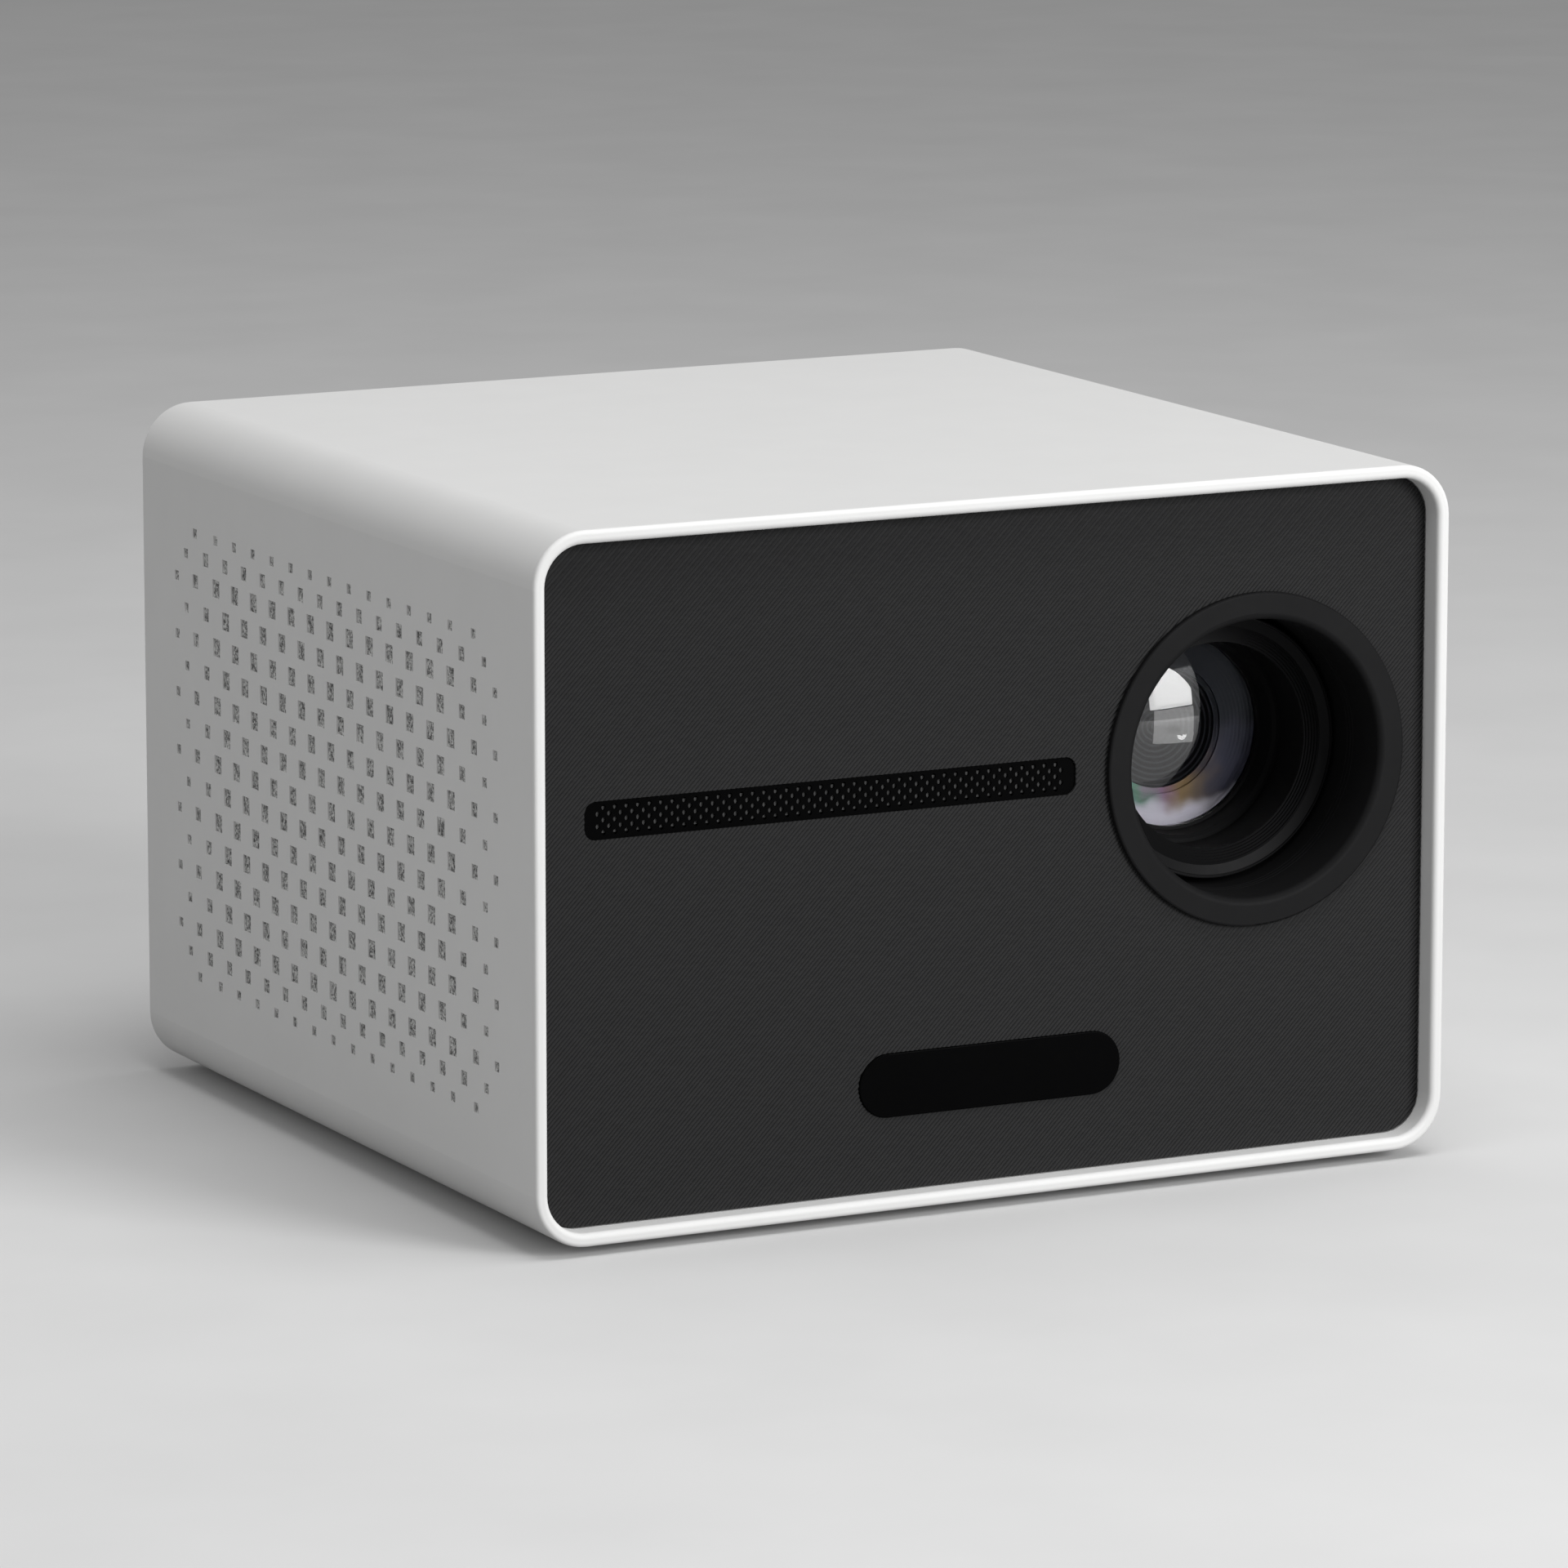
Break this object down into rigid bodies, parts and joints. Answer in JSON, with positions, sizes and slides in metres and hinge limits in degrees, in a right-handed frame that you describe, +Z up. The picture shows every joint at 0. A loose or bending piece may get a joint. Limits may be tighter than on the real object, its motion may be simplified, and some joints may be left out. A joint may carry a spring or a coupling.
{
  "type": "mini projector",
  "caption": "Boxy table-top projector with a rounded white sleeve, perforated sides, a recessed woven front, a deep round lens well and a perforated slot.",
  "frame": {"origin": "on the ground under the middle of the sleeve, level with the underside of the feet", "axes": "+X to the right seen from the front, +Y to the back (the lens looks along -Y), +Z up"},
  "size_m": [0.21, 0.1976, 0.147],
  "materials": {
    "white_plastic": "satin",
    "black_plastic": "matt",
    "gloss_black": "gloss",
    "woven_front": "coarse diagonal weave",
    "cloth": "fine weave",
    "grey_screen": "speckled grey sheet",
    "lens_glass": "coated",
    "lens_black": "satin black",
    "rubber": "matt",
    "brass": "satin",
    "steel": "brushed",
    "dark_steel": "blackened",
    "aluminium": "satin",
    "mirror": "polished",
    "acetal": "satin",
    "grey_plastic": "matt",
    "clear_plastic": "clear moulding",
    "picture_glass": "dark polarised glass",
    "green_board": "solder mask",
    "white_board": "white solder mask",
    "tan_board": "phenolic board",
    "chip": "moulded",
    "amber_film": "polyimide film",
    "red_lead": "insulated",
    "cone_paper": "pressed pulp"
  },
  "bodies": {
    "projector_body": {"housing_sleeve": "white_plastic", "front_panel": "black_plastic", "front_fabric": "woven_front", "slot_grille": "gloss_black", "grille_cloth": "cloth", "badge_plate": "gloss_black", "lens_bezel": "black_plastic", "side_dust_screens": "grey_screen", "rear_panel": "black_plastic", "rubber_feet": "rubber", "tripod_insert": "brass", "button_switch": "green_board", "ac_inlet": "black_plastic", "inlet_pins": "brass", "lens_mount": "grey_plastic", "focus_ring_clip": "dark_steel", "focus_motor": "steel", "motor_bracket": "steel", "engine_case": "grey_plastic", "engine_cover": "grey_plastic", "fresnel_lenses": "clear_plastic", "lcd_frame": "black_plastic", "lcd_panel": "picture_glass", "condenser_holder": "aluminium", "condenser_lens": "lens_glass", "reflector_cup": "mirror", "led_board": "white_board", "heat_sink": "aluminium", "exhaust_fan_frame": "black_plastic", "blower_housing": "black_plastic", "base_tray": "grey_plastic", "main_board": "green_board", "board_chips": "chip", "hdmi_sockets": "steel", "usb_sockets": "steel", "audio_jack": "black_plastic", "psu_board": "tan_board", "psu_parts": "chip", "lcd_flex_cable": "amber_film", "led_leads": "red_lead", "speaker_box": "black_plastic", "speaker_frames": "dark_steel", "speaker_cones": "cone_paper", "speaker_magnets": "dark_steel", "countersunk_screws": "dark_steel", "pan_head_screws": "steel", "small_screws": "steel"},
    "focus_ring": {"focus_ring": "black_plastic"},
    "lens_barrel": {"lens_barrel": "lens_black", "front_glass": "lens_glass", "aperture_ring": "lens_black", "middle_glass": "lens_glass", "rear_glass": "lens_glass", "glass_retaining_ring": "lens_black", "focus_pins": "steel"},
    "focus_pinion": {"focus_pinion": "acetal"},
    "exhaust_fan_rotor": {"exhaust_fan_rotor": "grey_plastic"},
    "blower_rotor": {"blower_rotor": "grey_plastic"},
    "power_button": {"power_button": "gloss_black", "switch_plunger": "acetal"}
  },
  "joints": [
    {"name": "focus_turn", "type": "hinge", "parent": "projector_body", "child": "focus_ring", "pos_m": [0.0617, -0.05105, 0.08735], "axis": [0, -1, 0], "range_deg": [-45, 45]},
    {"name": "focus_slide", "type": "slide", "parent": "focus_ring", "child": "lens_barrel", "axis": [0, -1, 0], "range_m": [-0.0016, 0.0016]},
    {"name": "pinion_spin", "type": "hinge", "parent": "projector_body", "child": "focus_pinion", "pos_m": [0.03264, -0.05505, 0.05829], "axis": [0, -1, 0], "range_deg": [-265, 265]},
    {"name": "exhaust_fan_spin", "type": "hinge", "parent": "projector_body", "child": "exhaust_fan_rotor", "pos_m": [0.0617, 0.086, 0.08735], "axis": [0, 1, 0], "continuous": true},
    {"name": "blower_spin", "type": "hinge", "parent": "projector_body", "child": "blower_rotor", "pos_m": [-0.0016, 0.00345, 0.07885], "axis": [0, -1, 0], "continuous": true},
    {"name": "power_press", "type": "slide", "parent": "projector_body", "child": "power_button", "axis": [0, -1, 0], "range_m": [0, 0.0008], "stiffness_N_per_m": 1200, "springref_m": -0.0006}
  ],
  "couplings": [
    {"joint": "focus_slide", "follows": "focus_turn", "m_per_rad": 0.0019099},
    {"joint": "pinion_spin", "follows": "focus_turn", "ratio": -5.8333}
  ]
}
